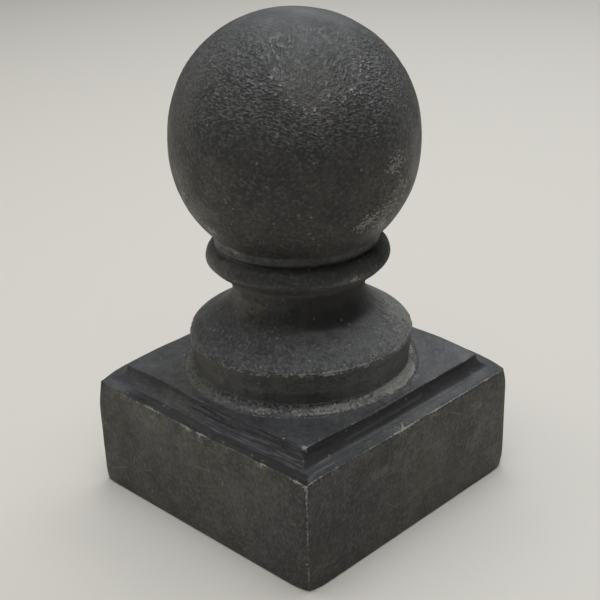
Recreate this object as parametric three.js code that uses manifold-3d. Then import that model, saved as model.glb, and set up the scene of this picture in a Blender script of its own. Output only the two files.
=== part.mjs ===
// Ball post cap, one iron casting: a square skirt that slips over a post, a
// coved step up to a square panel, a turned foot, neck and collar, and a ball.
// Millimetres, +Z up. The origin is the centre of the skirt's underside.

import * as THREE from 'three';
import { mergeVertices } from 'three/addons/utils/BufferGeometryUtils.js';
import Module from 'manifold-3d';

// Skirt
const BASE_SIDE = 109;
const SKIRT_HEIGHT = 42.4;
const UPRIGHT_EDGE_RADIUS = 1.6;
const TOP_EDGE_ROUND = 0.6;
const RIM_EDGE_ROUND = 1.0;

// Ledge, cove and raised panel
const LEDGE_INNER_SIDE = 101.6;
const LEDGE_RISE = 0.9;
const PANEL_SIDE = 92.4;
const PANEL_HEIGHT = 48.5;
const PANEL_EDGE_ROUND = 0.4;
const COVE_STEPS = 5;

// Post socket in the underside
const SOCKET_MOUTH = 92;
const SOCKET_CEILING = 91;
const SOCKET_DEPTH = 36;
const SOCKET_LEAD_IN = 1;

// Foot: a rough fillet off the panel, an undercut band and a ridge
const FILLET_RADIUS = 43.6;
const BAND_FOOT_RADIUS = 39.4;
const BAND_FOOT_LEVEL = 51.3;
const RIDGE_RADIUS = 41;
const RIDGE_LEVEL = 63.6;
const RIDGE_ROUND = 0.5;

// Shoulder and neck: one curve from the collar's underside to the ridge
const NECK_TOP_RADIUS = 25.2;
const NECK_TOP_LEVEL = 84.2;
const NECK_PULL = new THREE.Vector2(18.9, 73.8);
const SHOULDER_PULL = new THREE.Vector2(38.1, 68.3);
const SHOULDER_STEPS = 14;

// Collar
const COLLAR_RADIUS = 33.1;
const COLLAR_LEVEL = 92.7;
const COLLAR_ROLL = 5.8;
const COLLAR_RISE = 5.4;
const COLLAR_DROP = 5;
const COLLAR_LIP_RADIUS = 29.6;
const COLLAR_STEPS = 5;

// Groove between the collar and the ball
const GROOVE_RADIUS = 28.4;
const GROOVE_LEVEL = 98;
const BALL_SEAT_LEVEL = 99;

// Ball, a touch squarer in section than a true sphere
const BALL_RADIUS = 43.7;
const BALL_CENTRE = 134.9;
const BALL_SEAT_RADIUS = 29.3;
const BALL_SQUARENESS = 2.1;
const BALL_STEPS = 24;

const TURNED_SIDES = 60;
const UPRIGHT_EDGE_STEPS = 4;
// Closed solids that are joined or cut run this far into or past each other.
const OVERLAP = 2;

const wasm = await Module();
wasm.setup();

const point = (radius, level) => new THREE.Vector2(radius, level);

// A closed three.js geometry as a solid for joining and cutting.
function solid(geometry) {
  const bare = geometry.clone();
  bare.deleteAttribute('normal');
  bare.deleteAttribute('uv');
  const merged = mergeVertices(bare, 1e-4);
  const triangles = [];
  for (let i = 0; i < merged.index.count; i += 3) {
    const corners = [0, 1, 2].map((k) => merged.index.getX(i + k));
    if (new Set(corners).size === 3) triangles.push(...corners);
  }
  return new wasm.Manifold(new wasm.Mesh({
    numProp: 3,
    vertProperties: new Float32Array(merged.attributes.position.array),
    triVerts: new Uint32Array(triangles),
  }));
}

// A joined solid back as a three.js geometry.
function geometryOf(joined) {
  const mesh = joined.getMesh();
  const geometry = new THREE.BufferGeometry();
  geometry.setAttribute('position', new THREE.BufferAttribute(mesh.vertProperties, 3));
  geometry.setIndex(new THREE.BufferAttribute(mesh.triVerts, 1));
  geometry.computeVertexNormals();
  return geometry;
}

// A profile of (radius, level) points, from the lowest up, turned about +Z.
function turned(profile, sides, start = 0) {
  return new THREE.LatheGeometry(profile, sides, start).rotateX(Math.PI / 2);
}

// A profile of (half side, level) points carried round a square with mitred corners.
function squared(profile) {
  const corner = profile.map((p) => point(p.x * Math.SQRT2, p.y));
  return turned(corner, 4, Math.PI / 4);
}

// A square prism with rounded upright edges, from `low` to `high`.
function roundedPrism(side, radius, low, high) {
  const flat = side / 2 - radius;
  const outline = new THREE.Shape();
  outline.absarc(flat, flat, radius, 0, Math.PI / 2);
  outline.absarc(-flat, flat, radius, Math.PI / 2, Math.PI);
  outline.absarc(-flat, -flat, radius, Math.PI, 1.5 * Math.PI);
  outline.absarc(flat, -flat, radius, 1.5 * Math.PI, 2 * Math.PI);
  const prism = new THREE.ExtrudeGeometry(outline, {
    depth: high - low,
    bevelEnabled: false,
    curveSegments: UPRIGHT_EDGE_STEPS,
  });
  return prism.translate(0, 0, low);
}

// The skirt's outside, its ledge, the cove and the panel.
function blockProfile() {
  const half = BASE_SIDE / 2;
  const ledgeInner = LEDGE_INNER_SIDE / 2;
  const panelHalf = PANEL_SIDE / 2;
  const ledgeTop = SKIRT_HEIGHT + LEDGE_RISE;
  const coveTop = PANEL_HEIGHT - PANEL_EDGE_ROUND;
  const coveWidth = ledgeInner - panelHalf;
  const coveHeight = coveTop - ledgeTop;
  const profile = [
    point(0, 0),
    point(half - RIM_EDGE_ROUND, 0),
    point(half, RIM_EDGE_ROUND),
    point(half, SKIRT_HEIGHT - TOP_EDGE_ROUND),
    point(half - TOP_EDGE_ROUND, SKIRT_HEIGHT),
  ];
  // A hollow quarter curve, flat at the ledge and upright at the panel's edge.
  for (let i = 0; i <= COVE_STEPS; i += 1) {
    const turn = (i / COVE_STEPS) * (Math.PI / 2);
    const inward = coveWidth * Math.sin(turn);
    const upward = coveHeight * (1 - Math.cos(turn));
    profile.push(point(ledgeInner - inward, ledgeTop + upward));
  }
  profile.push(point(panelHalf - PANEL_EDGE_ROUND, PANEL_HEIGHT));
  profile.push(point(0, PANEL_HEIGHT));
  return profile;
}

function block() {
  const moulded = solid(squared(blockProfile()));
  const prism = roundedPrism(BASE_SIDE, UPRIGHT_EDGE_RADIUS, -OVERLAP, PANEL_HEIGHT + OVERLAP);
  return moulded.intersect(solid(prism));
}

// The hollow that takes the post, a little wider at its mouth.
function socket() {
  return solid(squared([
    point(0, -OVERLAP),
    point(SOCKET_MOUTH / 2 + SOCKET_LEAD_IN + OVERLAP, -OVERLAP),
    point(SOCKET_MOUTH / 2, SOCKET_LEAD_IN),
    point(SOCKET_CEILING / 2, SOCKET_DEPTH),
    point(0, SOCKET_DEPTH),
  ]));
}

function footProfile() {
  return [
    point(0, PANEL_HEIGHT - OVERLAP),
    point(FILLET_RADIUS, PANEL_HEIGHT - OVERLAP),
    point(FILLET_RADIUS, PANEL_HEIGHT),
    point((FILLET_RADIUS + BAND_FOOT_RADIUS) / 2, (PANEL_HEIGHT + BAND_FOOT_LEVEL) / 2),
    point(BAND_FOOT_RADIUS, BAND_FOOT_LEVEL),
    point(RIDGE_RADIUS, RIDGE_LEVEL - RIDGE_ROUND),
  ];
}

// From the ridge over the rounded shoulder and up the hollow of the neck.
function shoulderProfile() {
  const curve = new THREE.CubicBezierCurve(
    point(RIDGE_RADIUS, RIDGE_LEVEL),
    SHOULDER_PULL,
    NECK_PULL,
    point(NECK_TOP_RADIUS, NECK_TOP_LEVEL),
  );
  return curve.getPoints(SHOULDER_STEPS);
}

// The collar's roll, from its underside out to its widest and in to its lip.
function collarProfile() {
  const roll = COLLAR_RADIUS - COLLAR_ROLL;
  const lipTurn = Math.acos((COLLAR_LIP_RADIUS - roll) / COLLAR_ROLL);
  const profile = [];
  for (let i = 0; i <= COLLAR_STEPS; i += 1) {
    const turn = (i / COLLAR_STEPS - 1) * (Math.PI / 2);
    profile.push(point(
      roll + COLLAR_ROLL * Math.cos(turn),
      COLLAR_LEVEL + COLLAR_DROP * Math.sin(turn),
    ));
  }
  for (let i = 1; i <= COLLAR_STEPS; i += 1) {
    const turn = (i / COLLAR_STEPS) * lipTurn;
    profile.push(point(
      roll + COLLAR_ROLL * Math.cos(turn),
      COLLAR_LEVEL + COLLAR_RISE * Math.sin(turn),
    ));
  }
  return profile;
}

// The groove, the ball's short seat and the ball up to its crown on the axis.
function ballProfile() {
  const power = 2 / BALL_SQUARENESS;
  const seatTurn = -Math.acos((BALL_SEAT_RADIUS / BALL_RADIUS) ** (1 / power));
  const profile = [
    point(GROOVE_RADIUS, GROOVE_LEVEL),
    point(BALL_SEAT_RADIUS, BALL_SEAT_LEVEL),
  ];
  for (let i = 0; i < BALL_STEPS; i += 1) {
    const turn = seatTurn + (i / BALL_STEPS) * (Math.PI / 2 - seatTurn);
    const rise = Math.sign(turn) * Math.abs(Math.sin(turn)) ** power;
    profile.push(point(
      BALL_RADIUS * Math.cos(turn) ** power,
      BALL_CENTRE + BALL_RADIUS * rise,
    ));
  }
  profile.push(point(0, BALL_CENTRE + BALL_RADIUS));
  return profile;
}

function turnedPart() {
  const profile = [
    ...footProfile(),
    ...shoulderProfile(),
    ...collarProfile(),
    ...ballProfile(),
  ];
  return solid(turned(profile, TURNED_SIDES));
}

const paintedIron = new THREE.MeshStandardMaterial({
  color: 0x3a3a38,
  roughness: 0.55,
  metalness: 0.3,
});

const casting = block().add(turnedPart()).subtract(socket());
const postCap = new THREE.Mesh(geometryOf(casting), paintedIron);
postCap.name = 'ball_post_cap';

const part = new THREE.Group();
part.add(postCap);

export default part;
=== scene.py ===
"""Looks of the ball post cap: one painted iron casting with its relief, on a pale floor in soft light."""

import math

import bpy
import numpy as np
from mathutils import Matrix, Vector, noise


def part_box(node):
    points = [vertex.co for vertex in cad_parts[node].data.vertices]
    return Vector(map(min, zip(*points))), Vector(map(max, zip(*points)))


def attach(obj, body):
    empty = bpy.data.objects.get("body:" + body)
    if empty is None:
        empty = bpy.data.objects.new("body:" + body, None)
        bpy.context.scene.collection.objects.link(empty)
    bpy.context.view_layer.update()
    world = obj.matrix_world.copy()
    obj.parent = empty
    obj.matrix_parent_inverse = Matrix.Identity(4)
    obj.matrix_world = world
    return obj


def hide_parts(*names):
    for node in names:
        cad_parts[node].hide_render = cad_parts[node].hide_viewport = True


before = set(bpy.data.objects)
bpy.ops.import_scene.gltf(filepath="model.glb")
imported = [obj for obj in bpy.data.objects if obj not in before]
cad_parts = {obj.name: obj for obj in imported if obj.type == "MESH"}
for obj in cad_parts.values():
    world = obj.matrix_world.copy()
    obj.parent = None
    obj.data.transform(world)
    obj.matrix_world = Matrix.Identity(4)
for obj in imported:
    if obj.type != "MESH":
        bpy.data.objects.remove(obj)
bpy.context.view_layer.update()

NODE = "ball_post_cap"
BODY = "root"

# Shapes are worked out in millimetres and turned into metres at the end.
MM = 0.001
low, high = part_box(NODE)
BASE_HALF = (high.x - low.x) / 2 / MM
CROWN_LEVEL = high.z / MM

# Block: skirt, ledge, cove, panel and the socket below
SKIRT_HEIGHT = 42.4
UPRIGHT_EDGE_RADIUS = 1.6
MOULDING_CORNER_RADIUS = 0.9
SOCKET_CORNER_RADIUS = 0.5
TOP_EDGE_ROUND = 0.6
RIM_EDGE_ROUND = 1.0
LEDGE_INNER_HALF = 50.8
LEDGE_LEVEL = 43.3
PANEL_HALF = 46.2
PANEL_LEVEL = 48.5
PANEL_EDGE_ROUND = 0.4
SOCKET_MOUTH_HALF = 46
SOCKET_CEILING_HALF = 45.5
SOCKET_DEPTH = 36
SOCKET_LEAD_IN = 1
EDGE_HOLD = 0.6

# Turned part: foot, neck, collar and ball
FILLET_RADIUS = 43.6
BAND_FOOT = (39.4, 51.3)
RIDGE_RADIUS = 41
RIDGE_LEVEL = 63.6
RIDGE_ROUND = 0.5
SHOULDER_PULL = (38.1, 68.3)
NECK_PULL = (18.9, 73.8)
NECK_TOP = (25.2, 84.2)
COLLAR_RADIUS = 33.1
COLLAR_LEVEL = 92.7
COLLAR_ROLL = 5.8
COLLAR_RISE = 5.4
COLLAR_DROP = 5
COLLAR_LIP_RADIUS = 29.6
GROOVE = (28.4, 98)
BALL_SEAT_LEVEL = 99
BALL_SEAT_RADIUS = 29.3
BALL_RADIUS = 43.7
BALL_CENTRE = CROWN_LEVEL - BALL_RADIUS
BALL_SQUARENESS = 2.1

# Columns of the skin: each side of the block has its own, with a few in each rounded corner.
SIDE_COLUMNS = 80
CORNER_COLUMNS = 2
COLUMNS = 4 * SIDE_COLUMNS
FIRST_CORNER = -135

ZONES = (
    "socket", "rim", "face", "ledge", "cove", "panel",
    "fillet", "band", "ridge", "shoulder", "collar", "groove", "ball",
)

# Camera, found by fitting the block's corners and the turned rings to the photograph
VIEW_AZIMUTH = 44.75
VIEW_ELEVATION = 24.78
VIEW_ROLL = -1.76
VIEW_DISTANCE = 0.463
VIEW_AIM = (0.00386, -0.0036, 0.07559)
LENS = 77.21
SENSOR = 36

# Places on the casting where the photograph shows something of its own, and places of painted light and
# shade: point, spread and amount or depth
CORNER_PLACE = BASE_HALF - 0.5
DAB_PLACE = (24.5, -14, 168.5)
DAB_SPREAD = 12
FAN_PIVOT = (29.5, -31.5, 141)
KNOCKS = (
    ((53.4, -CORNER_PLACE, 42.4), 1.6, 0.8),
    ((-CORNER_PLACE, -CORNER_PLACE, 42.0), 4.5, 1.2),
    ((CORNER_PLACE, -CORNER_PLACE, 0.5), 2.8, 1.3),
    ((CORNER_PLACE, CORNER_PLACE, 44.0), 3.2, 1.2),
    ((CORNER_PLACE, CORNER_PLACE, 0.5), 2.4, 0.7),
    ((-CORNER_PLACE, -CORNER_PLACE, 0.5), 2.2, 0.5),
    ((-26, -38, 48.5), 1.6, 0.5),
)
ROUGHEST = (
    ((33, -19, 156), 9, 0.6),
    ((34, -3, 160), 8, 0.7),
    ((43.5, 3, 134), 5, 1.1),
    ((41.5, 5, 122), 6, 1.1),
    ((39, -4, 115), 5, 1.2),
    ((-13.5, -38.3, 118), 6, 1.0),
    ((-5, -37, 111), 5, 1.0),
)
# Rubbed places and chips on the edges, and painted glints on the dab and on the ball's lower right flank
RUBBED_AND_GLINTS = (
    ((19.4, -14.5, 172), 1.0, 0.7),
    ((17.7, -19.6, 170.5), 0.8, 0.6),
    ((26, -10, 169.1), 1.4, 0.5),
    ((27.2, -23.5, 160.8), 0.9, 0.4),
    ((30.8, -16.3, 162.4), 0.9, 0.6),
    ((34.5, 4.6, 162.4), 1.2, 0.5),
    ((18, -0.4, 175.2), 1.0, 0.5),
    ((43.5, 2.4, 134.5), 3.2, 0.7),
    ((41.5, 8, 123.5), 4.5, 0.46),
    ((40.9, 1.6, 118.7), 3.0, 0.46),
    ((39.3, -6, 116), 2.4, 0.66),
    ((37.7, 1.7, 112), 2.6, 0.68),
    ((37, -10, 113), 2.0, 0.6),
    ((-14.5, -38.8, 121), 2.6, 0.5),
    ((-9.7, -37.2, 113.1), 2.6, 0.62),
    ((-3.9, -36.7, 110.4), 2.2, 0.62),
    ((32.4, -6.1, 92.2), 1.7, 0.8),
    ((32.9, -2.1, 92), 1.3, 0.6),
    ((-1.3, -29.2, 100.7), 2.6, 0.75),
    ((2.8, -24.3, 82.5), 3.5, 0.4),
    ((41.3, 7.8, 49.5), 4, 0.4),
    ((38, 18.4, 49.4), 4, 0.4),
    ((53.7, -54.2, 41.8), 1.3, 0.8),
    ((49.5, -54.3, 42.1), 1.8, 0.6),
    ((45.6, -45.6, 48.4), 1.3, 0.7),
    ((-2.9, -54.2, 42.1), 1.8, 0.8),
    ((3.5, -54.4, 40.5), 2.0, 0.7),
    ((-21.8, -BASE_HALF, 39.1), 2.4, 0.6),
    ((33.1, -54.3, 42), 2.4, 0.6),
    ((BASE_HALF, -5.2, 41.4), 3.2, 0.7),
    ((BASE_HALF, 11.3, 40.6), 2.2, 0.55),
    ((BASE_HALF, 24, 37), 2.0, 0.5),
    ((BASE_HALF, 38, 33.8), 2.0, 0.55),
)
SCORES = (
    ((-50, -BASE_HALF, 6.3), (-40, -BASE_HALF, 11.2)),
    ((-33.6, -BASE_HALF, 12.2), (-25, -BASE_HALF, 15.8)),
    ((0.3, -BASE_HALF, 28.1), (9.8, -BASE_HALF, 29.2)),
    ((26.3, -BASE_HALF, 29), (31.5, -BASE_HALF, 26.5)),
    ((30.3, -BASE_HALF, 30.4), (37.5, -BASE_HALF, 32.8)),
    ((BASE_HALF, -50, 9.2), (BASE_HALF, -41.8, 6.7)),
    ((BASE_HALF, -22.6, 30.9), (BASE_HALF, -14.2, 30.9)),
    ((BASE_HALF, -15.8, 17.8), (BASE_HALF, -8.8, 11.8)),
    ((BASE_HALF, 7.9, 41.8), (BASE_HALF, 14.2, 39.6)),
    ((BASE_HALF, 19.9, 38.3), (BASE_HALF, 25.9, 34.9)),
    ((BASE_HALF, 33.7, 34.1), (BASE_HALF, 38.6, 34.1)),
)
# Paler spots: partly the paint's own tone, partly painted light, such as the crown's upper left, the ball's
# upper right and a highlight shifted on the dab
PALER = (
    ((33.5, -8, 161.5), 7, 0.35),
    ((-13, -27, 166), 8, 0.5),
    ((0, -27, 170), 8, 0.1),
    ((40, 12, 150), 9, 0.25),
    ((28.2, -22.7, 160.4), 5, 0.5),
    ((6, -42, 145), 7, 0.12),
    ((31.3, -7.9, 95.4), 5, 0.25),
    ((23, -14.6, 73.8), 6, 0.4),
    ((46.8, 44, 45.9), 3.5, 0.5),
    ((-19, -BASE_HALF, 37), 9, 0.6),
    ((32, -BASE_HALF, 26), 12, 0.45),
)
# Darker spots: partly the paint's own tone, partly painted shade, such as a dimmer crown and the collar's
# right under the ball
DARKER = (
    ((19, -18, 170), 7, 0.2),
    ((20, 5, 174), 8, 0.3),
    ((38, -20, 136), 12, 0.36),
    ((20.7, -35, 152), 8, 0.25),
    ((27.5, 8.8, 97.9), 3, 0.6),
    ((38, -48.8, 43.8), 5, 0.35),
    ((-25.9, -47.2, 45.2), 4.5, 0.35),
    ((-9.7, -46.9, 45.7), 7, 0.25),
    ((BASE_HALF, -36, 18), 17, 0.35),
    ((-46, -BASE_HALF, 30), 14, 0.15),
    ((38, -BASE_HALF, 10), 13, 0.2),
)
OLIVE = (
    ((40.5, 5, 119), 8, 0.8),
    ((38, 0, 112), 5, 0.5),
    ((-8, -37.2, 113), 6.5, 1.0),
    ((-15.5, -39.3, 122), 6.5, 0.9),
    ((2.8, -24.3, 82.5), 4.5, 0.9),
    ((-16, -38, 51), 9, 0.7),
    ((-30, -28, 51), 9, 0.5),
    ((-1.3, -29.2, 100.7), 3, 0.8),
    ((BASE_HALF, 0, 37), 7, 0.4),
    ((BASE_HALF, -24, 37), 5, 0.4),
)
RUST = (
    ((36, 4, 108), 3, 0.8),
    ((-16, -39.5, 124), 4, 0.7),
    ((19, -15, 79.8), 2, 0.3),
    ((30, -20, 157), 7, 0.35),
    ((BASE_HALF, -50, 12), 9, 0.25),
)

# Paint colours, linear; some of them also stand for painted light and shade
COAT_DARK = (0.0225, 0.022, 0.0193, 1)
COAT = (0.0475, 0.046, 0.0395, 1)
# Painted cold light from above, on upward surfaces
COLD_LIGHT_TINT = (0.038, 0.0382, 0.049, 1)
# Thin chalky paint, and also painted light where the pale mark lies
CHALK_AND_LIGHT = (0.12, 0.122, 0.122, 1)
# Painted shade: the black laid into hollows, creases and shaded sides
SHADE_BLACK = (0.013, 0.0125, 0.012, 1)
OLIVE_DUST = (0.115, 0.113, 0.064, 1)
RUST_STAIN = (0.075, 0.058, 0.038, 1)
# Pale bare iron, and also painted glints and edge highlights
BARE_IRON_AND_GLINT = (0.24, 0.236, 0.212, 1)
RAW_IRON = (0.06, 0.046, 0.038, 1)

# Relief that is in the mesh: depths, and the reach of two of them, in millimetres
BROAD_WAVER = 0.30
CLOSE_WAVER = 0.07
WRINKLE_DEPTH = 0.12
FILM_THICKNESS = 0.22
CREST_HEIGHT = 0.16
CRUMB_HEIGHT = 0.42
RUN_HEIGHT = 0.34
RUN_HALF_WIDTH = 0.28
NICK_DEPTH = 0.45
SOFT_RIDGE_DEPTH = 0.8
SOFT_RIDGE_REACH = 1.6
CREASE_DEPTH = 0.2
BEVEL_DEPTH = 0.7
GROOVE_FILL = 0.8
BACK_RISE = 1.7
FAR_CORNER_RISE = 0.8
LEFT_EDGE_RISE = 1.2
FRONT_CORNER_RISE = 0.5
FRONT_PANEL_RISE = 0.8

# Depths of the finest relief, which is bump, in millimetres
WRINKLE_BUMP = 0.75
GRIT_BUMP = 0.45
STROKE_BUMP = 0.14

# A single scratch is pale within its core and fades out at its edge, in millimetres from its line.
SCORE_CORE = 0.1
SCORE_EDGE = 0.45

# How places are stretched so that the ball's wrinkles come out wider than high
WRINKLE_SQUASH = (1, 1, 1.8)

# Stage, in metres and watts: each lamp has its turn and rise about the object, its size, power and colour
FLOOR_REACH = 6
FLOOR_GAP = 0.00005
FLOOR_COLOUR = (0.69, 0.657, 0.60, 1)
ROOM_STRENGTH = 0.14
LIGHT_REACH = 1.1
LAMPS = (
    ("overhead", 0, 90, 0.9, 9.5, (0.93, 0.965, 1.0)),
    ("front_high", 0, 65, 0.7, 1.9, (1.0, 0.985, 0.96)),
    ("back_right", 140, 40, 0.6, 2.1, (0.95, 0.975, 1.0)),
    ("back", 180, 35, 0.6, 1.4, (0.95, 0.975, 1.0)),
    ("left_low", -110, 15, 0.5, 1.05, (1.0, 0.96, 0.9)),
)


def smooth(start, end, value):
    """0 at start, 1 at end and an even curve between, for arrays."""
    share = np.clip((value - start) / (end - start), 0, 1)
    return share * share * (3 - 2 * share)


def window(start, end, edge, value):
    """1 between start and end, falling to 0 over edge outside them."""
    return smooth(start - edge, start, value) * (1 - smooth(end, end + edge, value))


def spots(skin, places):
    """Soft round spots about the given points: (point, spread, amount)."""
    return sum(amount * skin.near(place, spread) for place, spread, amount in places)


def fractal(points, size, octaves=1, shift=0.0):
    """Even noise of about -1 to 1, with its largest features size apart."""
    return np.array([noise.fractal(Vector(q), 1.0, 2.0, octaves) for q in points / size + shift])


def lumps(points, size, shift=0.0):
    """Rounded cells about size apart: 1 at a cell's middle, falling to 0 at its edge."""
    near = np.array([noise.voronoi(Vector(q))[0][0] for q in points / size + shift])
    return np.clip(1 - near / 0.75, 0, 1)


def straight(start, end, steps):
    """Points on a line, without its start."""
    return [tuple(np.add(start, np.subtract(end, start) * i / steps)) for i in range(1, steps + 1)]


def bezier(start, pull, second_pull, end, steps):
    """Points on a cubic curve, without its start."""
    points = []
    for i in range(1, steps + 1):
        t = i / steps
        weights = ((1 - t) ** 3, 3 * t * (1 - t) ** 2, 3 * t * t * (1 - t), t ** 3)
        ends = (start, pull, second_pull, end)
        points.append(tuple(sum(w * p[k] for w, p in zip(weights, ends)) for k in (0, 1)))
    return points


def roll(centre, across, upward, first, last, steps):
    """Points on an oval arc between two angles, without its start."""
    points = []
    for i in range(1, steps + 1):
        turn = math.radians(first + (last - first) * i / steps)
        points.append((centre[0] + across * math.cos(turn), centre[1] + upward * math.sin(turn)))
    return points


def socket_profile():
    """From the ceiling's middle to the rim, with close rings beside each edge to keep it crisp."""
    corners = (
        ((0, SOCKET_DEPTH), 0),
        ((SOCKET_CEILING_HALF - EDGE_HOLD, SOCKET_DEPTH), 3),
        ((SOCKET_CEILING_HALF, SOCKET_DEPTH), 1),
        ((SOCKET_CEILING_HALF, SOCKET_DEPTH - EDGE_HOLD), 1),
        ((SOCKET_MOUTH_HALF, SOCKET_LEAD_IN + EDGE_HOLD), 4),
        ((SOCKET_MOUTH_HALF, SOCKET_LEAD_IN), 1),
        ((SOCKET_MOUTH_HALF + SOCKET_LEAD_IN, 0), 1),
    )
    points = []
    for (start, _), (end, steps) in zip(corners, corners[1:]):
        points += straight(start, end, steps)
    return points


def rim_profile():
    inner = (SOCKET_MOUTH_HALF + SOCKET_LEAD_IN, 0)
    outer = (BASE_HALF - RIM_EDGE_ROUND, 0)
    edge_centre = (BASE_HALF - RIM_EDGE_ROUND, RIM_EDGE_ROUND)
    return straight(inner, outer, 3) + roll(edge_centre, RIM_EDGE_ROUND, RIM_EDGE_ROUND, -90, 0, 3)


def face_profile():
    top = SKIRT_HEIGHT - TOP_EDGE_ROUND
    foot = (BASE_HALF, RIM_EDGE_ROUND)
    upright = straight(foot, (BASE_HALF, RIM_EDGE_ROUND + EDGE_HOLD), 1)
    upright += straight(upright[-1], (BASE_HALF, top - EDGE_HOLD), 22)
    upright += straight(upright[-1], (BASE_HALF, top), 1)
    return upright + roll((BASE_HALF - TOP_EDGE_ROUND, top), TOP_EDGE_ROUND, TOP_EDGE_ROUND, 0, 90, 3)


def ledge_profile():
    return straight((BASE_HALF - TOP_EDGE_ROUND, SKIRT_HEIGHT), (LEDGE_INNER_HALF, LEDGE_LEVEL), 9)


def cove_profile():
    width = LEDGE_INNER_HALF - PANEL_HALF
    height = PANEL_LEVEL - PANEL_EDGE_ROUND - LEDGE_LEVEL
    hollow = roll((LEDGE_INNER_HALF, LEDGE_LEVEL + height), -width, -height, 90, 0, 22)
    edge_centre = (PANEL_HALF - PANEL_EDGE_ROUND, PANEL_LEVEL - PANEL_EDGE_ROUND)
    return hollow + roll(edge_centre, PANEL_EDGE_ROUND, PANEL_EDGE_ROUND, 0, 90, 3)


def fillet_profile():
    """A hollow curve that runs out level onto the panel."""
    outer = (FILLET_RADIUS, PANEL_LEVEL)
    level_pull = (FILLET_RADIUS - 2.4, PANEL_LEVEL + 0.1)
    upper_pull = (BAND_FOOT[0] + 0.9, BAND_FOOT[1] - 1.2)
    return bezier(outer, level_pull, upper_pull, BAND_FOOT, 10)


def band_profile():
    return straight(BAND_FOOT, (RIDGE_RADIUS, RIDGE_LEVEL - RIDGE_ROUND), 17)


def ridge_profile():
    return straight((RIDGE_RADIUS, RIDGE_LEVEL - RIDGE_ROUND), (RIDGE_RADIUS, RIDGE_LEVEL), 2)


def shoulder_profile():
    curve = bezier((RIDGE_RADIUS, RIDGE_LEVEL), SHOULDER_PULL, NECK_PULL, NECK_TOP, 38)
    collar_start = (COLLAR_RADIUS - COLLAR_ROLL, COLLAR_LEVEL - COLLAR_DROP)
    return curve + straight(NECK_TOP, collar_start, 4)


def collar_profile():
    centre = (COLLAR_RADIUS - COLLAR_ROLL, COLLAR_LEVEL)
    lip_turn = math.degrees(math.acos((COLLAR_LIP_RADIUS - centre[0]) / COLLAR_ROLL))
    under = roll(centre, COLLAR_ROLL, COLLAR_DROP, -90, 0, 12)
    return under + roll(centre, COLLAR_ROLL, COLLAR_RISE, 0, lip_turn, 10)


def groove_profile(collar_end, ball_start):
    seat = (BALL_SEAT_RADIUS, BALL_SEAT_LEVEL)
    return straight(collar_end, GROOVE, 3) + straight(GROOVE, seat, 2) + straight(seat, ball_start, 3)


def ball_point(turn):
    """A point of the ball's section, which is a touch squarer than a circle."""
    power = 2 / BALL_SQUARENESS
    rise = math.copysign(abs(math.sin(turn)) ** power, turn)
    return BALL_RADIUS * math.cos(turn) ** power, BALL_CENTRE + BALL_RADIUS * rise


def ball_start_turn():
    return -math.acos((BALL_SEAT_RADIUS / BALL_RADIUS) ** (BALL_SQUARENESS / 2))


def ball_profile(steps=112):
    """Rings of the ball, closest together where its skin is wrinkled."""
    start = ball_start_turn()
    shares = np.arange(1, steps) / steps
    turns = np.interp(shares, [0, 0.26, 0.94, 1], [start, math.radians(4), math.radians(76), math.pi / 2])
    return [ball_point(turn) for turn in turns]


def square_loop(half, corner):
    """A square with rounded corners, as COLUMNS points from the first corner, anticlockwise."""
    flat = half - corner
    bend = np.linspace(-45, 0, CORNER_COLUMNS + 1)[:-1]
    start = np.radians(bend)
    end = np.radians(-bend[:0:-1])
    run = np.linspace(-flat, flat, SIDE_COLUMNS - 2 * CORNER_COLUMNS + 1)
    face = np.full(len(run), half)
    outward = np.concatenate([flat + corner * np.cos(start), face, flat + corner * np.cos(end)])
    sideways = np.concatenate([-flat + corner * np.sin(start), run, flat + corner * np.sin(end)])
    sides = []
    for side in range(4):
        turn = math.radians(FIRST_CORNER + 45 + 90 * side)
        x = outward * math.cos(turn) - sideways * math.sin(turn)
        y = outward * math.sin(turn) + sideways * math.cos(turn)
        sides.append(np.stack([x, y], axis=1))
    return np.concatenate(sides)


def round_loop(radius):
    turn = np.radians(FIRST_CORNER + 360 * np.arange(COLUMNS) / COLUMNS)
    return np.stack([radius * np.cos(turn), radius * np.sin(turn)], axis=1)


def corner_radius(zone, level):
    if zone == "socket":
        return SOCKET_CORNER_RADIUS
    blend = float(smooth(SKIRT_HEIGHT - TOP_EDGE_ROUND, LEDGE_LEVEL, level))
    return UPRIGHT_EDGE_RADIUS + (MOULDING_CORNER_RADIUS - UPRIGHT_EDGE_RADIUS) * blend


def block_rows():
    rows = []
    segments = (
        ("socket", socket_profile()), ("rim", rim_profile()), ("face", face_profile()),
        ("ledge", ledge_profile()), ("cove", cove_profile()),
    )
    for zone, points in segments:
        for i, (half, level) in enumerate(points):
            loop = square_loop(half, min(corner_radius(zone, level), half / 2))
            rows.append((zone, (i + 1) / len(points), loop, level))
    return rows


def panel_rows(steps=16):
    """From the panel's square edge to the round foot that stands on it."""
    square = square_loop(PANEL_HALF - PANEL_EDGE_ROUND, MOULDING_CORNER_RADIUS)
    circle = round_loop(FILLET_RADIUS)
    shares = [0.02] + [i / steps for i in range(1, steps + 1)]
    return [("panel", share, square + (circle - square) * share, PANEL_LEVEL) for share in shares]


def turned_rows():
    ball_start = ball_point(ball_start_turn())
    collar = collar_profile()
    segments = (
        ("fillet", fillet_profile()), ("band", band_profile()), ("ridge", ridge_profile()),
        ("shoulder", shoulder_profile()), ("collar", collar),
        ("groove", groove_profile(collar[-1], ball_start)), ("ball", ball_profile()),
    )
    rows = []
    for zone, points in segments:
        for i, (radius, level) in enumerate(points):
            rows.append((zone, (i + 1) / len(points), round_loop(radius), level))
    return rows


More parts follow.
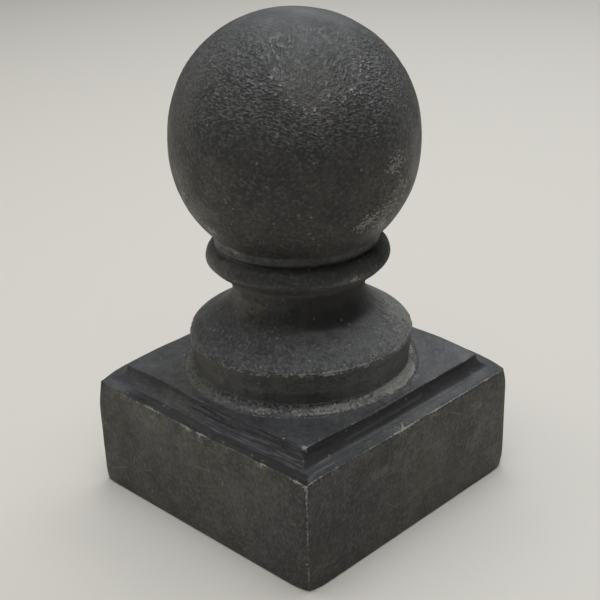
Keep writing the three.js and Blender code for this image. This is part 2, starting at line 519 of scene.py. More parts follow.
class Skin:
    """The casting's surface as rings of points, with what relief and paint need to know of each."""

    def __init__(self):
        rows = block_rows() + panel_rows() + turned_rows()
        rings = [np.column_stack([loop, np.full(COLUMNS, level)]) for _, _, loop, level in rows]
        self.rings = len(rows)
        self.grid = np.array(rings)
        zones = np.array([ZONES.index(zone) for zone, _, _, _ in rows])
        self.zone = np.repeat(zones, COLUMNS)
        self.share = np.repeat([share for _, share, _, _ in rows], COLUMNS)
        self.place = self.grid.reshape(-1, 3)
        self.normal = self.normals(self.grid)
        self.path = np.repeat(self.path_lengths(), COLUMNS)
        self.angle = np.degrees(np.arctan2(self.place[:, 1], self.place[:, 0]))
        away = self.place - (0, 0, BALL_CENTRE)
        self.ball_direction = away / np.linalg.norm(away, axis=1, keepdims=True)
        self.ball_rise = np.degrees(np.arcsin(self.ball_direction[:, 2]))

    def path_lengths(self):
        """How far along the profile each ring lies, measured at the middle of a side."""
        line = self.grid[:, SIDE_COLUMNS // 2]
        steps = np.linalg.norm(np.diff(line, axis=0), axis=1)
        return np.concatenate([[0], np.cumsum(steps)])

    def normals(self, grid):
        around = np.roll(grid, -1, axis=1) - np.roll(grid, 1, axis=1)
        along = np.gradient(grid, axis=0)
        normal = np.cross(around, along)
        length = np.linalg.norm(normal, axis=2, keepdims=True)
        return (normal / np.maximum(length, 1e-9)).reshape(-1, 3)

    def on(self, *names):
        """1 on these zones and 0 elsewhere."""
        return np.isin(self.zone, [ZONES.index(name) for name in names]).astype(float)

    def facing(self, x, y):
        """1 on the side of the block that faces this way, 0 on the others."""
        outward = np.maximum(np.abs(self.place[:, 0]), np.abs(self.place[:, 1]))
        reach = self.place[:, 0] * x + self.place[:, 1] * y
        return smooth(-0.8, 0.0, reach - outward + 0.4)

    def near(self, centre, spread):
        """A soft round spot about a point."""
        gap = np.linalg.norm(self.place - centre, axis=1)
        return np.exp(-0.5 * (gap / spread) ** 2)

    def toward(self, angle, spread):
        """A soft sector of the turned part about a compass angle."""
        gap = (self.angle - angle + 180) % 360 - 180
        return np.exp(-0.5 * (gap / spread) ** 2)


def outside(skin):
    """1 on what shows when the cap stands, fading to 0 at the rim so that it stays flat."""
    return smooth(0.5, 6, skin.place[:, 2]) * (1 - skin.on("socket", "rim"))


def casting_waver(skin):
    """The gentle unevenness of a sand casting."""
    broad = BROAD_WAVER * fractal(skin.place, 32, 2)
    close = CLOSE_WAVER * fractal(skin.place, 8, 2, 5.2)
    return (broad + close) * outside(skin)


def dab_patch(skin):
    """Where a loaded brush was dabbed on the ball, with a ragged edge."""
    ragged = 0.16 * fractal(skin.place, 9, 3, 4.8)
    return skin.on("ball") * smooth(0.3, 0.55, skin.near(DAB_PLACE, DAB_SPREAD) + ragged)


def paint_film(skin):
    """Where thick paint has filled the ball's grain: its crown and the dabbed patch."""
    drift = 8 * fractal(skin.place, 24, 2, 11.4)
    crown = smooth(52, 68, skin.ball_rise + drift)
    return np.maximum(skin.on("ball") * crown, dab_patch(skin))


def peel_band(skin):
    """How wrinkled the ball's skin is: most in a belt above its middle, and on its lower flanks."""
    drift = 7 * fractal(skin.place, 20, 2, 1.9)
    belt = window(24, 60, 22, skin.ball_rise + drift) * (0.45 + 0.55 * skin.toward(-45, 55))
    rough = spots(skin, ROUGHEST)
    return skin.on("ball") * np.clip(0.2 + 0.85 * belt + rough, 0, 1.5) * (1 - 0.66 * paint_film(skin))


def film_edge(skin):
    """The crest where the dabbed film ends on its lower side."""
    share = dab_patch(skin)
    return 4 * share * (1 - share) * (1 - smooth(42, 52, skin.ball_rise))


def ball_peel(skin):
    """The wrinkles, and the thickness of the film of paint with its crest."""
    wrinkles = fractal(skin.place * WRINKLE_SQUASH, 2.2, 2, 3.7)
    film = FILM_THICKNESS * paint_film(skin) + CREST_HEIGHT * film_edge(skin)
    return WRINKLE_DEPTH * wrinkles * peel_band(skin) + film


def crumb_belt(skin):
    """The rough middle of the fillet, wider on the left and on the right."""
    reach = 0.25 - 0.25 * skin.toward(-115, 30)
    end = 0.6 + 0.3 * skin.toward(5, 28)
    inner = 1 - smooth(end, end + 0.28, skin.share)
    return skin.on("fillet") * smooth(reach - 0.2, reach + 0.1, skin.share) * inner


def crumb_apron(skin):
    """The crumbs that run out over the panel on the right of the fillet."""
    return skin.on("panel") * smooth(0.3, 0.95, skin.share) * skin.toward(-8, 24)


def fillet_crumbs(skin):
    crumbs = 0.8 * (lumps(skin.place, 1.7, 2.9) - 0.4) + fractal(skin.place, 2.2, 2, 6.6)
    panel = 0.35 * skin.on("panel") * smooth(0.86, 1, skin.share) + 0.3 * crumb_apron(skin)
    return CRUMB_HEIGHT * crumbs * (crumb_belt(skin) + panel)


def cove_strokes(skin):
    """Ridges left by a stiff brush along the moulding, plainest in the cove at the front of the -Y side."""
    stretched = np.column_stack([skin.place[:, 0] / 30, skin.place[:, 1] / 30, skin.path / 1.3])
    front = skin.facing(0, -1) * smooth(-32, 2, skin.place[:, 0])
    strength = 0.04 + 0.28 * front * (skin.on("cove") + 0.4 * skin.on("ledge")) + 0.03 * skin.facing(1, 0)
    return strength * (0.5 - 2 * np.abs(fractal(stretched, 1, 2))) * skin.on("ledge", "cove")


def paint_ridge(skin):
    """A run of paint along the +X moulding, with a jog near its start."""
    y = skin.place[:, 1]
    line = np.interp(y, [-30, -28.5, -26.5, 14], [48.7, 48.6, 47.6, 47.3])
    across = np.exp(-0.5 * ((skin.place[:, 0] - line) / RUN_HALF_WIDTH) ** 2)
    moulding = skin.facing(1, 0) * skin.on("ledge", "cove")
    return RUN_HEIGHT * across * window(-29, 12, 2, y) * moulding


def ridge_rim(skin):
    rim = skin.on("ridge") + skin.on("band") * smooth(0.88, 1, skin.share)
    return rim + skin.on("shoulder") * (1 - smooth(0.0, 0.06, skin.share))


def soft_ridge(skin):
    """Where the ridge is worn round, on the left of the foot."""
    return skin.toward(-128, 15)


def ridge_nicks(skin):
    """Nicks along the ridge, and its rounded stretch."""
    worn = smooth(0.05, 0.6, fractal(skin.place, 5, 3, 4.4))
    outward = np.hypot(skin.place[:, 0], skin.place[:, 1]) - RIDGE_RADIUS
    gap = np.hypot(outward, skin.place[:, 2] - RIDGE_LEVEL)
    beside = skin.on("band", "ridge", "shoulder") * np.exp(-0.5 * (gap / SOFT_RIDGE_REACH) ** 2)
    return -NICK_DEPTH * worn * ridge_rim(skin) - SOFT_RIDGE_DEPTH * beside * soft_ridge(skin)


def band_crease(skin):
    """The band's lower part lies a little back from its upper part."""
    level = 0.36 + 0.12 * fractal(skin.place, 25, 2, 7.7)
    return -CREASE_DEPTH * (1 - smooth(level - 0.06, level + 0.03, skin.share)) * skin.on("band")


def collar_bevel(skin):
    """The collar's lower flank is flatter than a full roll."""
    return -BEVEL_DEPTH * window(0.22, 0.34, 0.2, skin.share) * skin.on("collar")


def groove_fill(skin):
    """Paint and dirt that fill the groove on its left."""
    return GROOVE_FILL * skin.on("groove") * (1 - smooth(0.5, 1, skin.share)) * skin.toward(-115, 25)


def edge_rubs(skin):
    """The block's top edge is worn unevenly and roughened, most on the -Y side."""
    face = skin.on("face") * smooth(0.82, 0.98, skin.share)
    ledge = skin.on("ledge") * (1 - smooth(0.0, 0.45, skin.share))
    uneven = smooth(-0.2, 0.5, fractal(skin.place, 7, 3, 8.8))
    left = skin.facing(0, -1)
    crumbled = 0.35 * fractal(skin.place, 2.4, 2, 1.4) * left
    return (face + ledge) * (crumbled - uneven * (0.2 + 0.4 * left) - 0.45 * left)


def knocks(skin):
    """Small dents and chips."""
    return -spots(skin, KNOCKS)


def heave(skin):
    """How far the top of the block rises unevenly, most toward its far edges, in millimetres."""
    x = skin.place[:, 0]
    y = skin.place[:, 1]
    far = (y - x) / math.sqrt(2)
    back = BACK_RISE * smooth(-5, 12, far)
    back = back + FAR_CORNER_RISE * smooth(15, 40, far) * smooth(-20, 20, y)
    front = LEFT_EDGE_RISE * smooth(-34, -46, y) * np.exp(-0.5 * ((x + 27) / 14) ** 2)
    corner = smooth(-40, -64, far)
    raised = skin.on("panel") + skin.on("cove") * smooth(0.2, 1, skin.share)
    top = skin.on("ledge", "cove", "panel") + skin.on("fillet") * (1 - skin.share)
    face = skin.on("face") * smooth(15, SKIRT_HEIGHT, skin.place[:, 2])
    near_corner = corner * (FRONT_CORNER_RISE * (top + face) + FRONT_PANEL_RISE * raised)
    return back * (top + face) + front * top + near_corner


def relief(skin):
    """How far each point stands out from the plain form, in millimetres."""
    parts = (
        casting_waver, ball_peel, fillet_crumbs, cove_strokes, paint_ridge, ridge_nicks, band_crease,
        collar_bevel, groove_fill, edge_rubs, knocks,
    )
    return sum(part(skin) for part in parts)


def faces_of(rings):
    """Quads between neighbouring rings, with a fan of triangles at each end point."""
    first_ring = 1
    last_point = 1 + rings * COLUMNS
    faces = []
    for column in range(COLUMNS):
        beside = (column + 1) % COLUMNS
        faces.append((0, first_ring + beside, first_ring + column))
        for ring in range(rings - 1):
            below = first_ring + ring * COLUMNS
            above = below + COLUMNS
            faces.append((below + column, below + beside, above + beside, above + column))
        top = first_ring + (rings - 1) * COLUMNS
        faces.append((top + column, top + beside, last_point))
    return faces


def store(mesh, name, values, kind="FLOAT"):
    """Keeps one value for each point, with the end points like their neighbours."""
    padded = np.concatenate([values[:1], values, values[-1:]]).astype(np.float32)
    attribute = mesh.attributes.new(name, kind, "POINT")
    attribute.data.foreach_set("vector" if kind == "FLOAT_VECTOR" else "value", padded.ravel())


def casting():
    skin = Skin()
    place = skin.place + skin.normal * relief(skin)[:, None]
    place[:, 2] += heave(skin)
    grid = place.reshape(skin.grid.shape)
    ends = ([[0, 0, SOCKET_DEPTH]], [[0, 0, grid[-1, :, 2].mean()]])
    points = np.concatenate([ends[0], place, ends[1]]) * MM
    mesh = bpy.data.meshes.new(NODE + "_painted")
    mesh.from_pydata(points.tolist(), [], faces_of(skin.rings))
    mesh.shade_smooth()
    paint(skin, mesh)
    piece = bpy.data.objects.new(NODE + "_painted", mesh)
    bpy.context.scene.collection.objects.link(piece)
    return piece


def stroke_places(skin):
    """Where each point lies for the brush marks: short across the brush's path, long along it."""
    x = skin.place[:, 0]
    y = skin.place[:, 1]
    turn = np.radians(skin.angle) + 0.05 * fractal(skin.place, 12, 2, 5.5)
    along = np.column_stack([x / 16, y / 16, skin.path / 0.9])
    radial = np.column_stack([26 * np.cos(turn), 26 * np.sin(turn), skin.path / 7])
    across = np.column_stack([(x + y) / 2.2, (y - x) / 14, np.full(len(x), 3.1)])
    dabbed = skin.on("ball") * (skin.near(DAB_PLACE, DAB_SPREAD) > 0.1)
    paths = ((radial, skin.on("shoulder")), (across, skin.on("panel")), (dab_fan(skin), dabbed))
    for path, where in paths:
        along = np.where(where[:, None] > 0, path, along)
    return along


def dab_fan(skin):
    """Short brush marks that fan upward from a point lower on the ball."""
    pivot = np.array(FAN_PIVOT) - (0, 0, BALL_CENTRE)
    out = pivot / np.linalg.norm(pivot)
    sideways = np.cross((0, 0, 1), out)
    sideways = sideways / np.linalg.norm(sideways)
    upward = np.cross(out, sideways)
    gap = skin.place - FAN_PIVOT
    turn = np.arctan2(gap @ upward, gap @ sideways) + 0.055 * fractal(skin.place, 6, 2, 2.2)
    reach = np.linalg.norm(gap, axis=1)
    return np.column_stack([turn * 34, reach / 2.0, np.full(len(turn), 7.3)])


def arris_masks(skin):
    """The edges of the block: its panel, its top, its uprights and its rim."""
    share = skin.share
    panel = skin.on("cove") * smooth(0.9, 0.96, share) + skin.on("panel") * (1 - smooth(0.0, 0.04, share))
    top = skin.on("face") * smooth(0.9, 0.96, share) + skin.on("ledge") * (1 - smooth(0.0, 0.12, share))
    corner_gap = 2 * BASE_HALF - np.abs(skin.place[:, 0]) - np.abs(skin.place[:, 1])
    upright = skin.on("face") * (1 - smooth(0.94, 1.22, corner_gap))
    rim = skin.on("rim") * smooth(0.5, 0.8, share) + skin.on("face") * (1 - smooth(0.0, 0.06, share))
    return panel, top, upright, rim


def edge_wear(skin, patchy):
    """Wear along the block's edges, partly painted highlight on the arrises, most on the +X side."""
    panel, top, upright, rim = arris_masks(skin)
    right = skin.facing(1, 0)
    front = skin.near((BASE_HALF, -BASE_HALF, 22), 24)
    foot = skin.near((BASE_HALF, -BASE_HALF, 0), 26)
    even = 0.85 + 0.3 * fractal(skin.place, 10, 2, 3.3)
    left = skin.on("face") * smooth(0.8, 0.95, skin.share) * skin.facing(0, -1)
    upper = panel * (0.62 + 0.3 * right) * patchy + top * (0.45 * patchy + 0.5 * right * even)
    lower = upright * (0.5 + 0.4 * front) * even + rim * (0.3 + 0.5 * foot) * (0.4 + 0.6 * patchy)
    return upper + 0.55 * left * patchy + lower


def foot_wear(skin, patchy):
    """Wear on the foot's ridge, fillet and shoulder, partly painted highlight on the shoulder's right."""
    front = 0.3 + 0.38 * skin.toward(-45, 60)
    ridge = ridge_rim(skin) * front * (0.1 + 1.7 * patchy) * (1 - soft_ridge(skin))
    crumbs = crumb_belt(skin) * (0.35 + 0.5 * skin.toward(8, 48)) * (0.6 + 0.8 * patchy)
    crumbs = crumbs + 0.6 * crumb_apron(skin) * patchy
    sectors = 0.1 + 0.32 * skin.toward(-28, 38) + 0.6 * skin.toward(50, 24)
    shoulder = skin.on("shoulder") * (1 - smooth(0.35, 0.55, skin.share)) * sectors
    return ridge + crumbs + shoulder


def wear_amount(skin):
    """Where the paint is rubbed or chipped to pale iron, and where glints and edge highlights are painted
    in the same pale colour.
    """
    patchy = 0.5 + 0.5 * fractal(skin.place, 6, 3, 9.3)
    ball = 0.38 * film_edge(skin) + 0.2 * skin.on("ball") * (1 - paint_film(skin))
    marks = spots(skin, RUBBED_AND_GLINTS) * (0.3 + 1.2 * patchy) + 0.15 * skin.on("collar")
    return np.clip(edge_wear(skin, patchy) + foot_wear(skin, patchy) + ball + marks, 0, 1)


def pale_amount(skin):
    """Where the paint is paler: partly thin chalky paint and partly painted light, on the shoulder's lit
    right, the neck's left, the panel's right, the collar's lip and the groove's left, the band lifted out
    of its shade, the run of paint along its crest, and the paler spots.
    """
    x = skin.place[:, 0]
    y = skin.place[:, 1]
    share = skin.share
    shoulder = skin.on("shoulder", "ridge") * (1 - smooth(0.45, 0.8, share))
    shoulder = shoulder * (0.26 + 2.5 * skin.toward(46, 34) + 0.3 * skin.toward(-35, 25))
    neck = skin.on("shoulder") * smooth(0.66, 0.9, share) * 0.62 * skin.toward(-78, 36)
    right_end = smooth(0, 45, y) * smooth(-10, 30, x)
    panel = (0.2 * skin.on("panel") + 0.1 * skin.on("ledge")) * right_end + 0.2 * skin.on("panel")
    ledge = skin.on("ledge") * 0.9 * skin.facing(0, -1) * smooth(-30, -46, x)
    fillet = crumb_belt(skin) * (0.5 + 0.7 * skin.toward(10, 55)) + 0.5 * crumb_apron(skin)
    collar = skin.on("collar") * (0.68 * skin.toward(-130, 25) + 0.14 * skin.toward(-60, 35))
    lip = skin.on("collar") * smooth(0.72, 0.88, share) + skin.on("groove")
    collar = collar + 0.6 * lip * skin.toward(-95, 28)
    band = skin.on("band") * (0.14 + 0.4 * (1 - smooth(0.4, 0.9, share)))
    left_foot = 0.35 * (1 - smooth(0.4, 0.7, share)) * skin.toward(-108, 22)
    band = band + skin.on("band") * (0.4 * skin.toward(-115, 28) + left_foot + 0.3 * skin.toward(28, 24))
    run = 1.3 * paint_ridge(skin)
    return shoulder + neck + panel + ledge + fillet + collar + band + run + spots(skin, PALER)


def painted_shade_amount(skin):
    """Painted shade: in the groove under the ball, on the neck under the collar and most on its right, on
    the collar's right under the ball, in the +X cove, on the panel's left, on the ledges, on the ball's
    underside, and in the darker spots.
    """
    x = skin.place[:, 0]
    y = skin.place[:, 1]
    share = skin.share
    hollow = skin.on("groove") * (1 - smooth(0.5, 0.8, share))
    hollow = hollow + 0.5 * skin.on("collar") * smooth(0.86, 0.97, share)
    groove = hollow * (0.18 + 0.36 * skin.toward(-15, 40)) * (1 - 0.9 * skin.toward(-115, 28))
    neck = skin.on("shoulder") * window(0.58, 0.9, 0.12, share) * (0.1 + 1.2 * skin.toward(-12, 32))
    collar = 0.7 * skin.on("collar") * skin.toward(45, 26) * smooth(0.15, 0.35, share)
    cove = skin.on("cove") * window(0.3, 0.86, 0.15, share) * (0.05 + 0.85 * skin.facing(1, 0))
    panel = 0.38 * skin.on("panel") * smooth(0, -35, x)
    left_ledge = skin.facing(0, -1) * (0.7 + 0.2 * smooth(0, 30, x)) * smooth(-42, -32, x)
    right_ledge = 0.3 * skin.facing(1, 0) * smooth(10, -30, y)
    ledge = skin.on("ledge") * (left_ledge + right_ledge)
    underside = 0.12 * skin.on("ball") * (1 - smooth(-25, 0, skin.ball_rise))
    block = cove + panel + ledge
    return np.clip(groove + neck + collar + block + underside + spots(skin, DARKER), 0, 1)


def edge_dust(skin):
    """Dust that clings in patches below the top edge of the -Y face."""
    below = SKIRT_HEIGHT - skin.place[:, 2]
    along = 0.6 * window(-40, 40, 14, skin.place[:, 0]) + 0.5 * skin.near((-20, -BASE_HALF, 36), 14)
    patchy = smooth(-0.35, 0.25, fractal(skin.place, 9, 3, 6.1))
    return 1.8 * skin.facing(0, -1) * skin.on("face") * np.exp(-below / 8) * along * patchy


def olive_amount(skin):
    return np.clip(spots(skin, OLIVE) + edge_dust(skin), 0, 1)


def cool_amount(skin):
    """Painted cold light: the moulding, the panel, the shoulder's foot and the ball's crown, which face up,
    are tinted colder than the upright faces, and so are two spots on the faces.
    """
    block = skin.on("ledge", "cove") * (0.7 + 0.3 * skin.facing(0, -1)) + 0.6 * skin.on("panel")
    lower = skin.on("shoulder") * (1 - smooth(0.4, 0.6, skin.share))
    shoulder = lower * (0.3 + 0.4 * skin.toward(-110, 30))
    face = 0.5 * skin.near((BASE_HALF, -34, 22), 14) + 0.5 * skin.near((40, -BASE_HALF, 10), 10)
    return block + shoulder + face + 0.35 * skin.on("ball") * smooth(45, 62, skin.ball_rise)


def grain_amount(skin):
    """How much of the casting's sand grain shows through the paint."""
    ball = skin.on("ball") * (0.85 - 0.5 * paint_film(skin))
    lower = 1 - smooth(0.4, 0.6, skin.share)
    shoulder = skin.on("shoulder") * (0.8 + 1.4 * skin.toward(-30, 48) * lower)
    turned = 0.6 * skin.on("band") + 0.7 * skin.on("ridge", "collar", "groove") + 1.8 * skin.on("fillet")
    front = skin.near((BASE_HALF, -BASE_HALF, 30), 30)
    block = 0.45 * skin.on("rim", "ledge", "cove", "panel") + 0.8 * skin.on("socket")
    return ball + shoulder + turned + block + (0.65 + 0.5 * front) * skin.on("face")


def brush_amount(skin):
    """How plainly the brush marks stand, strongest on the shoulder's right, where their pale lines are
    partly painted light.
    """
    x = skin.place[:, 0]
    lower = skin.on("shoulder") * (1 - smooth(0.45, 0.7, skin.share))
    shoulder = lower * (0.05 + 1.3 * skin.toward(44, 24))
    front = skin.facing(0, -1) * smooth(-34, 0, x) * (skin.on("cove") + 0.5 * skin.on("ledge"))
    corner = skin.on("ledge", "cove") * skin.near((51, -44, 44), 8)
    moulding = 0.15 * skin.on("ledge", "cove") + 0.8 * front + 0.9 * corner
    panel = skin.on("panel") * (0.04 + 0.22 * smooth(0, 30, x + skin.place[:, 1]))
    dabs = dab_patch(skin) * (0.75 + 0.5 * smooth(-0.2, 0.4, fractal(skin.place, 9, 2, 8.2)))
    return dabs + shoulder + moulding + panel + 0.1 * skin.on("face", "band", "collar")


def paint(skin, mesh):
    """Stores what the paint needs to know of each point."""
    sides = np.maximum(skin.facing(1, 0), skin.facing(0, -1))
    # Some marks also paint light and shade: wear carries glints, pale carries lit places, dark carries
    # shade and cool carries the cold light from above.
    store(mesh, "wear", wear_amount(skin))
    store(mesh, "pale", pale_amount(skin))
    store(mesh, "dark", painted_shade_amount(skin))
    store(mesh, "cool", cool_amount(skin))
    store(mesh, "olive", olive_amount(skin))
    store(mesh, "rust", np.clip(spots(skin, RUST), 0, 1))
    store(mesh, "peel", peel_band(skin))
    store(mesh, "grain", grain_amount(skin))
    store(mesh, "brush", brush_amount(skin))
    store(mesh, "scratch", skin.on("face") * (0.4 + 0.6 * sides))
    store(mesh, "raw", skin.on("socket"))
    store(mesh, "stroke", stroke_places(skin), "FLOAT_VECTOR")


def add(tree, kind, inputs=None, **settings):
    """A node with its settings, and its inputs set or linked."""
    made = tree.nodes.new(kind)
    for name, value in settings.items():
        setattr(made, name, value)
    for name, value in (inputs or {}).items():
        if isinstance(value, bpy.types.NodeSocket):
            tree.links.new(value, made.inputs[name])
        else:
            made.inputs[name].default_value = value
    return made


def number(tree, operation, first, second):
    return add(tree, "ShaderNodeMath", {0: first, 1: second}, operation=operation).outputs[0]


def ranged(tree, value, low_end, high_end, to_low=0.0, to_high=1.0):
    """A value spread smoothly from one range to another."""
    taken = {"Value": value, "From Min": low_end, "From Max": high_end}
    given = {"To Min": to_low, "To Max": to_high}
    return add(tree, "ShaderNodeMapRange", taken | given, interpolation_type="SMOOTHSTEP").outputs[0]


def blended(tree, share, first, second):
    inputs = {0: share, 6: first, 7: second}
    return add(tree, "ShaderNodeMix", inputs, data_type="RGBA").outputs[2]


def grain(tree, place, per_metre, detail=3.0, roughness=0.55):
    inputs = {"Vector": place, "Scale": per_metre, "Detail": detail, "Roughness": roughness}
    return add(tree, "ShaderNodeTexNoise", inputs).outputs[0]


def known(tree, name):
    return add(tree, "ShaderNodeAttribute", attribute_name=name)


def marked(tree, mark, amount):
    """An amount where the mark is 1, none where it is 0."""
    return number(tree, "MULTIPLY", mark, amount)


def over(tree, mark, amount, coat, colour):
    """A colour laid over the coat where it is marked."""
    return blended(tree, marked(tree, mark, amount), coat, colour)


def base_coat(tree, marks, place):
    """Mottled black paint, dusty in clouds on the faces, with painted cold light on the moulding and the
    other upward places.
    """
    mottle = grain(tree, place, 75, 6, 0.68)
    coat = blended(tree, ranged(tree, mottle, 0.40, 0.60), COAT_DARK, COAT)
    clouds = ranged(tree, grain(tree, place, 42, 5, 0.65), 0.46, 0.64, 0.0, 0.25)
    coat = over(tree, marks["scratch"], clouds, coat, OLIVE_DUST)
    # Painted cold light where the cool mark lies
    return over(tree, marks["cool"], 0.8, coat, COLD_LIGHT_TINT)


def grained(tree, marks, patterns, coat):
    """Dark pits and pale tips of the sand grain and of the ball's wrinkles: painted shade in the pits and
    creases, and the tips paler, partly worn paint and partly painted highlight.
    """
    pits = ranged(tree, patterns["grit"], 0.34, 0.5, 0.7, 0.0)
    coat = over(tree, marks["grain"], pits, coat, SHADE_BLACK)
    tips = ranged(tree, patterns["grit"], 0.5, 0.66, 0.0, 0.55)
    coat = over(tree, marks["grain"], tips, coat, CHALK_AND_LIGHT)
    creases = ranged(tree, patterns["wrinkle"], 0.34, 0.5, 0.75, 0.0)
    coat = over(tree, marks["peel"], creases, coat, SHADE_BLACK)
    crowns = ranged(tree, patterns["wrinkle"], 0.52, 0.66, 0.0, 0.75)
    return over(tree, marks["peel"], crowns, coat, CHALK_AND_LIGHT)


def brushed(tree, marks, patterns, coat):
    """Paler places, partly thin chalky paint and partly painted light; the pale lines of the brush, partly
    painted highlight; and its dark lines, which are painted shade.
    """
    # Paler places: partly thin chalky paint, partly painted light
    thin = ranged(tree, patterns["dust"], 0.36, 0.64, 0.35, 1.0)
    coat = over(tree, marks["pale"], thin, coat, CHALK_AND_LIGHT)
    # Pale lines of the brush, partly painted highlight
    streaks = ranged(tree, patterns["stroke"], 0.52, 0.68, 0.0, 0.4)
    coat = over(tree, marks["brush"], streaks, coat, BARE_IRON_AND_GLINT)
    # Painted shade in the gaps between the brush marks
    gaps = ranged(tree, patterns["stroke"], 0.36, 0.48, 0.6, 0.0)
    return over(tree, marks["brush"], gaps, coat, SHADE_BLACK)


def soiled_and_shaded(tree, marks, patterns, coat):
    """Olive dust and rust stains, and painted shade where the dark mark lies."""
    gritty = ranged(tree, patterns["grit"], 0.36, 0.56, 0.2, 1.0)
    dusty = number(tree, "MULTIPLY", ranged(tree, patterns["dust"], 0.4, 0.58), gritty)
    coat = over(tree, marks["olive"], dusty, coat, OLIVE_DUST)
    coat = over(tree, marks["rust"], ranged(tree, patterns["dust"], 0.35, 0.6), coat, RUST_STAIN)
    # Painted shade: the places marked dark are blackened
    return over(tree, marks["dark"], 0.8, coat, SHADE_BLACK)


def bare_and_glinting(tree, marks, place, patterns, coat):
    """Bright grains, and iron laid bare where the surface stands proud of its wear; both stand partly for
    painted glints.
    """
    coat = over(tree, marks["grain"], specks(tree, place), coat, BARE_IRON_AND_GLINT)
    # Bare iron, and painted glints on the tips of the wrinkles
    fleck = grain(tree, place, 1050, 4, 0.62)
    inputs = {0: ranged(tree, marks["peel"], 0.4, 0.9), 2: fleck, 3: patterns["wrinkle"]}
    proud = add(tree, "ShaderNodeMix", inputs).outputs[0]
    bare_from = number(tree, "SUBTRACT", 0.8, marked(tree, marks["wear"], 0.5))
    rubbed = ranged(tree, number(tree, "SUBTRACT", proud, bare_from), 0.0, 0.08)
    return blended(tree, rubbed, coat, BARE_IRON_AND_GLINT)


def paint_colour(tree, marks, place, patterns):
    """Black paint with its thin, rubbed and tinted places, and with painted light and shade: paler lit
    places, glints, cold light from above and blackened hollows.
    """
    coat = base_coat(tree, marks, place)
    coat = grained(tree, marks, patterns, coat)
    coat = brushed(tree, marks, patterns, coat)
    coat = over(tree, marks["scratch"], scratches(tree, place), coat, CHALK_AND_LIGHT)
    coat = blended(tree, scored(tree, place), coat, CHALK_AND_LIGHT)
    coat = soiled_and_shaded(tree, marks, patterns, coat)
    coat = bare_and_glinting(tree, marks, place, patterns, coat)
    return blended(tree, marks["raw"], coat, RAW_IRON)


def specks(tree, place):
    """Small bright grains, a few on each square centimetre, partly painted glints."""
    cells = add(tree, "ShaderNodeTexVoronoi", {"Vector": place, "Scale": 430})
    grains = ranged(tree, cells.outputs["Distance"], 0.1, 0.3, 1.0, 0.0)
    lot = add(tree, "ShaderNodeSeparateColor", {0: cells.outputs["Color"]}).outputs[0]
    return number(tree, "MULTIPLY", grains, ranged(tree, lot, 0.78, 1.0, 0.0, 0.75))


def scratches(tree, place):
    """Thin slanting rubs on the upright faces, in patches."""
    along = turned_measure(tree, place, (90, 90, 40))
    across = turned_measure(tree, place, (-300, -300, 900))
    lines = add(tree, "ShaderNodeCombineXYZ", {0: along, 1: across}).outputs[0]
    streak = ranged(tree, grain(tree, lines, 1, 2), 0.55, 0.72, 0.0, 0.55)
    patch = ranged(tree, grain(tree, place, 45, 3), 0.46, 0.62)
    return number(tree, "MULTIPLY", streak, patch)


def scored(tree, place):
    """The single scratches on the upright faces, a little broken along their length."""
    broken = ranged(tree, grain(tree, place, 420, 2), 0.35, 0.55, 0.1, 0.65)
    marks = [score(tree, place, Vector(start), Vector(end)) for start, end in SCORES]
    deepest = marks[0]
    for mark in marks[1:]:
        deepest = number(tree, "MAXIMUM", deepest, mark)
    return number(tree, "MULTIPLY", deepest, broken)


def score(tree, place, start, end):
    """1 along a thin straight line between two points of a face, however the face waves in and out."""
    run = end - start
    flat = Vector([1 if abs(step) > 0 else 0.2 for step in run])
    gap = add(tree, "ShaderNodeVectorMath", {0: place, 1: start * MM}, operation="SUBTRACT").outputs[0]
    gap = add(tree, "ShaderNodeVectorMath", {0: gap, 1: flat}, operation="MULTIPLY").outputs[0]
    reach = turned_measure(tree, gap, run / run.length_squared / MM)
    reach = add(tree, "ShaderNodeClamp", {"Value": reach}).outputs[0]
    nearest = add(tree, "ShaderNodeVectorMath", {0: run * MM, 3: reach}, operation="SCALE").outputs[0]
    away = add(tree, "ShaderNodeVectorMath", {0: gap, 1: nearest}, operation="DISTANCE").outputs["Value"]
    return ranged(tree, away, SCORE_CORE * MM, SCORE_EDGE * MM, 1.0, 0.0)


def turned_measure(tree, place, direction):
    """How far a place lies along a direction, in the direction's own units."""
    inputs = {0: place, 1: direction}
    return add(tree, "ShaderNodeVectorMath", inputs, operation="DOT_PRODUCT").outputs["Value"]


def paint_height(tree, marks, patterns):
    """Relief too fine for the mesh, in millimetres."""
    wrinkled = marked(tree, marks["peel"], number(tree, "MULTIPLY", patterns["wrinkle"], WRINKLE_BUMP))
    sandy = marked(tree, marks["grain"], number(tree, "MULTIPLY", patterns["grit"], GRIT_BUMP))
    lines = marked(tree, marks["brush"], ranged(tree, patterns["stroke"], 0.38, 0.62, 0.0, STROKE_BUMP))
    return number(tree, "ADD", number(tree, "ADD", wrinkled, sandy), lines)


def wrinkles(tree, place):
    """Leathery ripples that are a little wider than high."""
    inputs = {0: place, 1: WRINKLE_SQUASH}
    squat = add(tree, "ShaderNodeVectorMath", inputs, operation="MULTIPLY").outputs[0]
    return grain(tree, squat, 800, 2, 0.5)


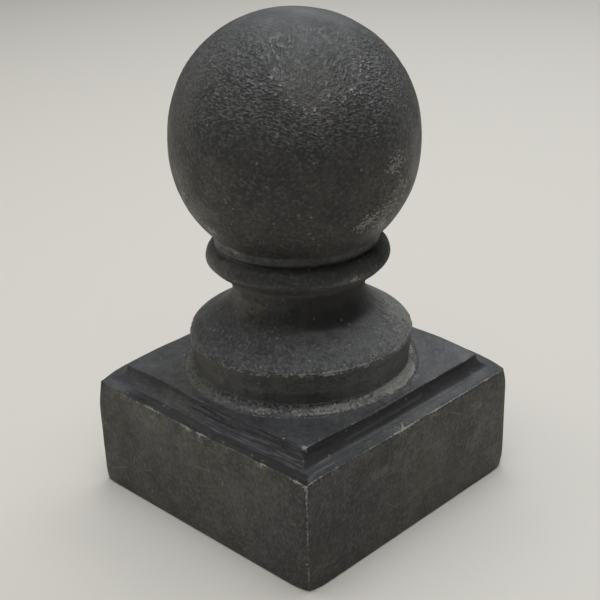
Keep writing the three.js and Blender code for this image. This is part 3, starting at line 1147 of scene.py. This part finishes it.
def painted_iron():
    material = bpy.data.materials.new("painted_iron")
    material.use_nodes = True
    tree = material.node_tree
    shader = tree.nodes["Principled BSDF"]
    names = ("wear", "pale", "dark", "cool", "olive", "rust", "peel", "grain", "brush", "scratch", "raw")
    marks = {name: known(tree, name).outputs["Fac"] for name in names}
    place = add(tree, "ShaderNodeTexCoord").outputs["Object"]
    patterns = {
        "wrinkle": wrinkles(tree, place),
        "grit": grain(tree, place, 780, 2, 0.6),
        "dust": grain(tree, place, 240, 5, 0.68),
        "stroke": grain(tree, known(tree, "stroke").outputs["Vector"], 1, 3, 0.55),
    }
    tree.links.new(paint_colour(tree, marks, place, patterns), shader.inputs["Base Color"])
    sheen = ranged(tree, grain(tree, place, 90, 3, 0.6), 0.3, 0.7, 0.40, 0.58)
    matt = number(tree, "ADD", sheen, marked(tree, marks["dark"], 0.35))
    tree.links.new(matt, shader.inputs["Roughness"])
    height = paint_height(tree, marks, patterns)
    bump = add(tree, "ShaderNodeBump", {"Height": height, "Distance": MM, "Strength": 1.0})
    tree.links.new(bump.outputs[0], shader.inputs["Normal"])
    return material


def floor():
    mesh = bpy.data.meshes.new("floor")
    signs = ((-1, -1), (1, -1), (1, 1), (-1, 1))
    corners = [(x * FLOOR_REACH, y * FLOOR_REACH, -FLOOR_GAP) for x, y in signs]
    mesh.from_pydata(corners, [], [(0, 1, 2, 3)])
    piece = bpy.data.objects.new("floor", mesh)
    bpy.context.scene.collection.objects.link(piece)
    material = bpy.data.materials.new("pale_floor")
    material.use_nodes = True
    shader = material.node_tree.nodes["Principled BSDF"]
    shader.inputs["Base Color"].default_value = FLOOR_COLOUR
    shader.inputs["Roughness"].default_value = 0.9
    shader.inputs["Specular IOR Level"].default_value = 0.1
    mesh.materials.append(material)


def soft_light(name, turn, rise, size, watts, colour):
    """A square lamp on a dome round the object; turn is anticlockwise from the camera, seen from above."""
    angle = math.radians(VIEW_AZIMUTH - 90 + turn)
    height = math.radians(rise)
    flat = LIGHT_REACH * math.cos(height)
    place = Vector((flat * math.cos(angle), flat * math.sin(angle), LIGHT_REACH * math.sin(height)))
    lamp = bpy.data.lights.new(name, "AREA")
    lamp.shape = "SQUARE"
    lamp.size = size
    lamp.energy = watts
    lamp.color = colour
    holder = bpy.data.objects.new(name, lamp)
    holder.location = place + Vector((0, 0, CROWN_LEVEL * MM / 2))
    holder.rotation_euler = (-place).to_track_quat("-Z", "Y").to_euler()
    bpy.context.scene.collection.objects.link(holder)


def lighting():
    for lamp in LAMPS:
        soft_light(*lamp)
    world = bpy.data.worlds.new("room")
    world.use_nodes = True
    sky = world.node_tree.nodes["Background"]
    sky.inputs["Color"].default_value = (1, 1, 1, 1)
    sky.inputs["Strength"].default_value = ROOM_STRENGTH
    bpy.context.scene.world = world


def camera():
    turn, rise, tip = (math.radians(x) for x in (VIEW_AZIMUTH, VIEW_ELEVATION, VIEW_ROLL))
    back = Vector((math.sin(turn) * math.cos(rise), -math.cos(turn) * math.cos(rise), math.sin(rise)))
    level_right = Vector((math.cos(turn), math.sin(turn), 0))
    level_up = back.cross(level_right)
    right = math.cos(tip) * level_right + math.sin(tip) * level_up
    up = -math.sin(tip) * level_right + math.cos(tip) * level_up
    holder = bpy.data.objects.new("camera", bpy.data.cameras.new("camera"))
    placed = Matrix((right, up, back)).transposed().to_4x4()
    placed.translation = Vector(VIEW_AIM) + back * VIEW_DISTANCE
    holder.matrix_world = placed
    holder.data.sensor_width = SENSOR
    holder.data.lens = LENS
    bpy.context.scene.collection.objects.link(holder)
    bpy.context.scene.camera = holder


cap = casting()
cap.data.materials.append(painted_iron())
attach(cap, BODY)
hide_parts(NODE)
floor()
lighting()
camera()
bpy.context.scene.view_settings.view_transform = "Standard"
